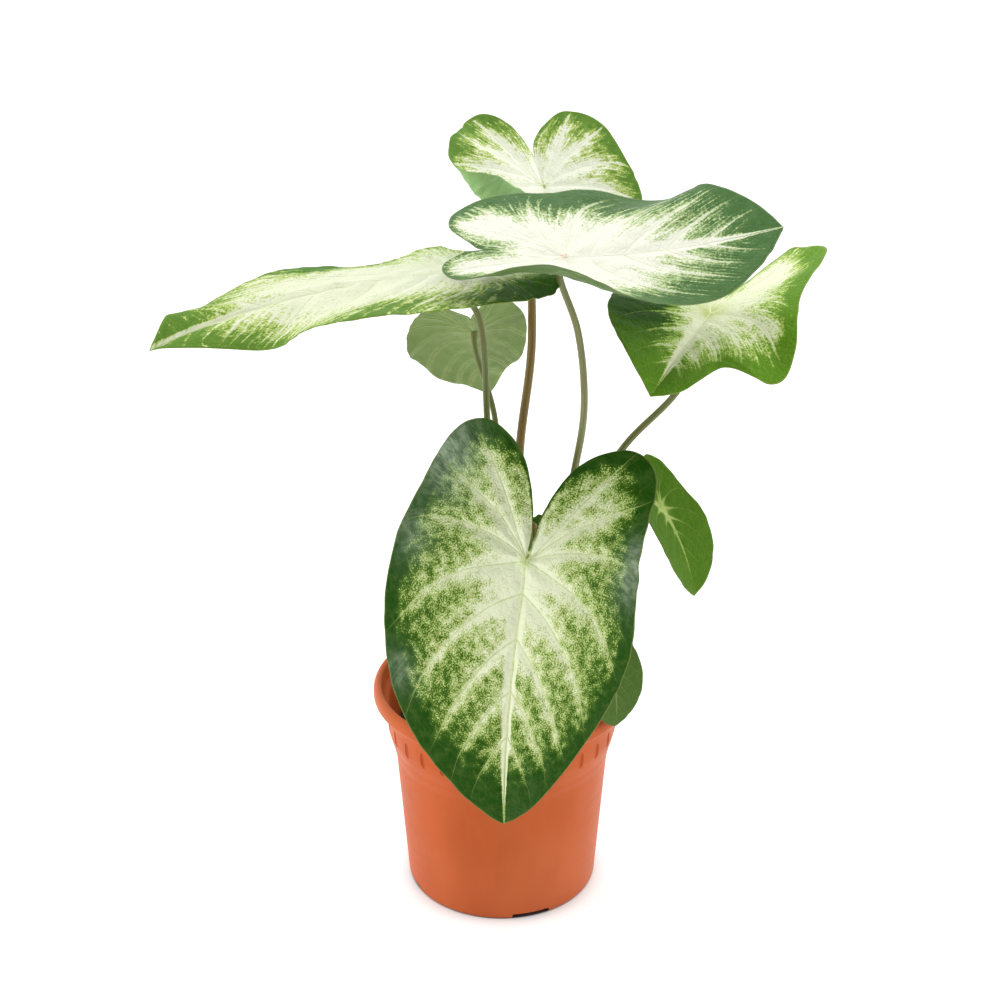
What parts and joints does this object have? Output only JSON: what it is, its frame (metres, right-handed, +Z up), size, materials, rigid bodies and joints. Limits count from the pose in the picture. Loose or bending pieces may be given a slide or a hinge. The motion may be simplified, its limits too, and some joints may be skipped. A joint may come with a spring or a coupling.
{
  "type": "potted caladium plant",
  "caption": "Potted caladium: heart-shaped white-centred leaves with green margins on slender stalks, rising from soil in a tapered terracotta-coloured plastic nursery pot.",
  "frame": {"origin": "middle of the underside of the pot, on the surface that the pot stands on", "axes": "+Z up along the pot's axis, -Y towards the front, where the large hanging leaf faces, +X to the right as seen from the front"},
  "size_m": [0.2884, 0.1968, 0.3553],
  "materials": {
    "pot_plastic": "satin moulded terracotta-coloured polypropylene",
    "soil": "dark crumbly peat potting mix",
    "tuber": "brown papery corm skin",
    "leaf": "cream-white along the veins, speckled, with a dark green margin, satin above and dull pale green below",
    "stalk_olive": "smooth satin pale olive petiole",
    "stalk_brown": "smooth satin brownish petiole, redder towards the blade"
  },
  "bodies": {
    "root": {"pot": "pot_plastic", "soil": "soil", "tuber": "tuber", "leaf_front": "leaf", "stalk_front": "stalk_brown", "leaf_crown": "leaf", "stalk_crown": "stalk_olive", "leaf_top": "leaf", "stalk_top": "stalk_brown", "leaf_left": "leaf", "stalk_left": "stalk_olive", "leaf_right": "leaf", "stalk_right": "stalk_olive", "leaf_back": "leaf", "stalk_back": "stalk_olive", "leaf_small_right": "leaf", "stalk_small_right": "stalk_olive", "leaf_small_low": "leaf", "stalk_small_low": "stalk_olive", "leaf_small_centre": "leaf", "stalk_small_centre": "stalk_olive"}
  },
  "joints": []
}
